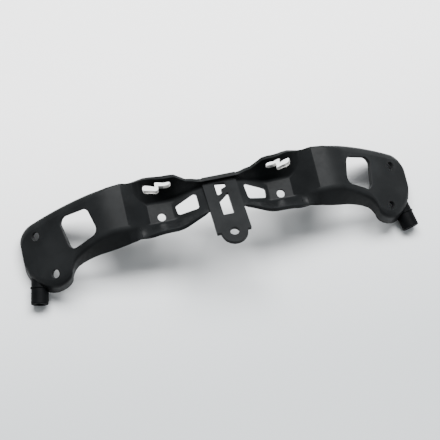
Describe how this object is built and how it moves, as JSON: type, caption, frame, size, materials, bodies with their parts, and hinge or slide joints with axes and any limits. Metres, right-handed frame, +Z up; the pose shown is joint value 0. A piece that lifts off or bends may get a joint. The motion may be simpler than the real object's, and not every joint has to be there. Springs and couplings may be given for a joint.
{
  "type": "fairing stay",
  "caption": "Pressed steel motorcycle fairing stay: a bridge-shaped cross-piece with swept bolt plates, pierced pockets, a centre tab and welded end collars.",
  "frame": {"origin": "under the middle of the stay's box, on the table it lies on", "axes": "+X along the stay to its right wing, +Y across it away from the tab, +Z up from the table"},
  "size_m": [0.3346, 0.078, 0.0717],
  "materials": {
    "coated_steel": "satin black coat",
    "coated_collar": "satin black coat"
  },
  "bodies": {
    "root": {"pressed_stay": "coated_steel", "left_collar": "coated_collar", "right_collar": "coated_collar"}
  },
  "joints": []
}
